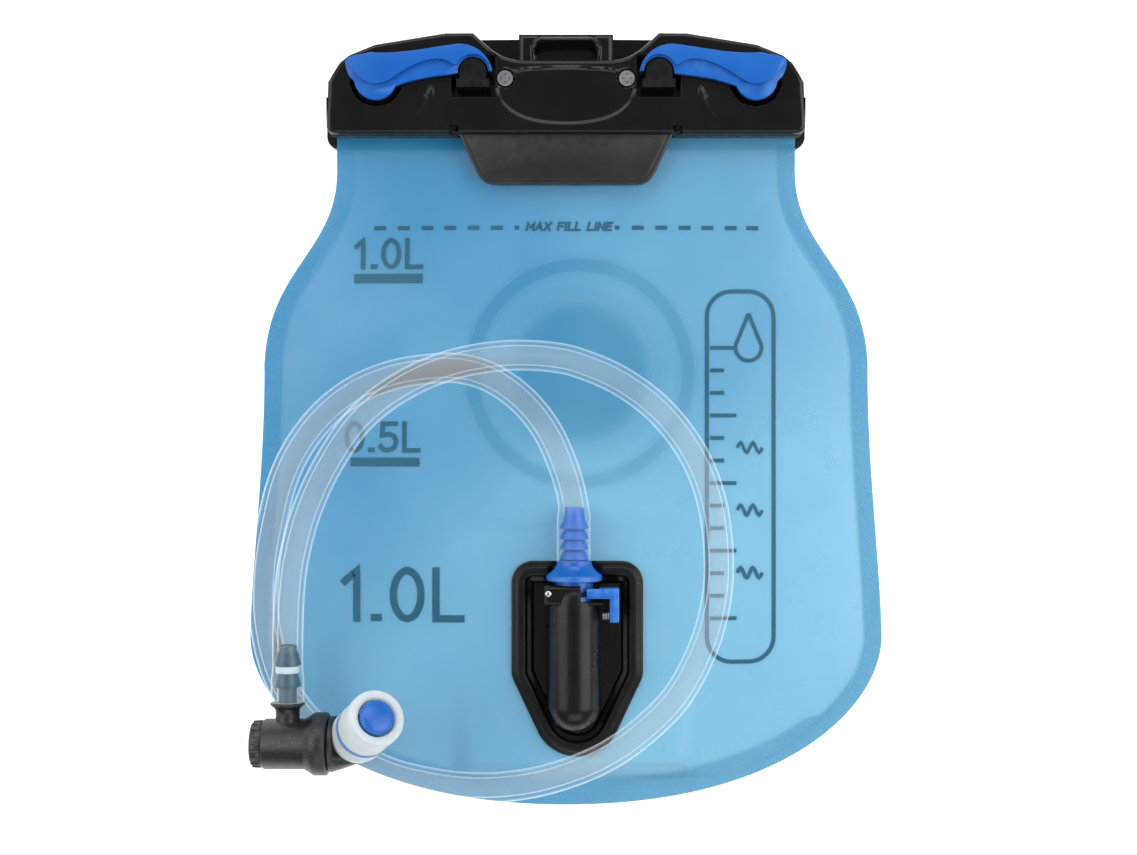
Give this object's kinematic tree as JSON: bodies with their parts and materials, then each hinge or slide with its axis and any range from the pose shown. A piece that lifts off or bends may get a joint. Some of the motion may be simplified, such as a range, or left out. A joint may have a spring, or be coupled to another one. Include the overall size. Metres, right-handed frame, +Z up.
{
  "type": "hydration bladder",
  "caption": "Flat film reservoir with a hinged clamp closure and lock levers, a quick-release drinking port, a coiled hose, and a shut-off elbow with a bite valve.",
  "frame": {"origin": "on the table under the middle of the reservoir and its closure", "axes": "+Z up out of the front face, +Y from the bag towards the closure, +X to the right as seen from the front"},
  "size_m": [0.204, 0.2468, 0.0453],
  "materials": {
    "jaw_black": "glossy moulded",
    "frame_black": "fine matte",
    "tab_black": "satin",
    "lever_blue": "satin",
    "plug_blue": "satin",
    "seal_grey": "matte",
    "steel": "brushed",
    "film_front": "translucent film",
    "film_back": "translucent film",
    "port_black": "satin",
    "poppet_white": "satin",
    "o_ring": "matte",
    "hose_clear": "clear",
    "barb_dark": "satin",
    "clip_pale": "satin",
    "elbow_black": "fine sparkle",
    "rotor_white": "satin",
    "silicone": "frosted translucent",
    "band_blue": "matte"
  },
  "bodies": {
    "root": {"back_jaw": "jaw_black", "jaw_seal": "seal_grey", "jaw_hinge_pins": "steel", "film_front": "film_front", "film_back": "film_back", "port_flange": "port_black", "valve_housing": "port_black", "button_spring": "steel", "poppet_spring": "steel", "hose_plug": "plug_blue", "plug_o_ring": "o_ring", "hose": "hose_clear", "elbow_barb": "barb_dark", "barb_clip_ring": "clip_pale", "elbow_body": "elbow_black"},
    "front_jaw": {"front_cover": "jaw_black", "clamp_frame": "frame_black", "pull_tab": "tab_black", "jaw_screws": "steel", "lever_pins": "steel"},
    "left_lever": {"lever_left": "lever_blue"},
    "right_lever": {"lever_right": "lever_blue"},
    "release": {"release_button": "plug_blue", "latch_plate": "steel"},
    "poppet": {"check_poppet": "poppet_white"},
    "shutoff": {"shutoff_knob": "elbow_black", "shutoff_rotor": "rotor_white"},
    "mouthpiece": {"outlet_collar": "elbow_black", "bite_valve": "silicone", "valve_band": "band_blue", "valve_plunger": "plug_blue"}
  },
  "joints": [
    {"name": "jaw_hinge", "type": "hinge", "parent": "root", "child": "front_jaw", "pos_m": [0, 0.118, 0.0096], "axis": [-1, 0, 0], "range_deg": [0, 55]},
    {"name": "lever_left_pivot", "type": "hinge", "parent": "front_jaw", "child": "left_lever", "pos_m": [-0.0598, 0.1079, 0.016], "axis": [0, 0, 1], "range_deg": [0, 40]},
    {"name": "lever_right_pivot", "type": "hinge", "parent": "front_jaw", "child": "right_lever", "pos_m": [0.0598, 0.1079, 0.016], "axis": [0, 0, 1], "range_deg": [-40, 0]},
    {"name": "button_press", "type": "slide", "parent": "root", "child": "release", "axis": [-1, 0, 0], "range_m": [0, 0.0015], "stiffness_N_per_m": 400, "springref_m": -0.001, "deforming": ["button_spring"]},
    {"name": "poppet_lift", "type": "slide", "parent": "root", "child": "poppet", "axis": [0, -1, 0], "range_m": [0, 0.002], "stiffness_N_per_m": 150, "springref_m": -0.002, "deforming": ["poppet_spring"]},
    {"name": "shutoff_turn", "type": "hinge", "parent": "root", "child": "shutoff", "pos_m": [-0.0855, -0.0999, 0.0216], "axis": [1, 0, 0], "range_deg": [0, 90]},
    {"name": "mouthpiece_swivel", "type": "hinge", "parent": "root", "child": "mouthpiece", "pos_m": [-0.072, -0.0999, 0.0216], "axis": [1, 0, 0], "range_deg": [0, 60]}
  ]
}
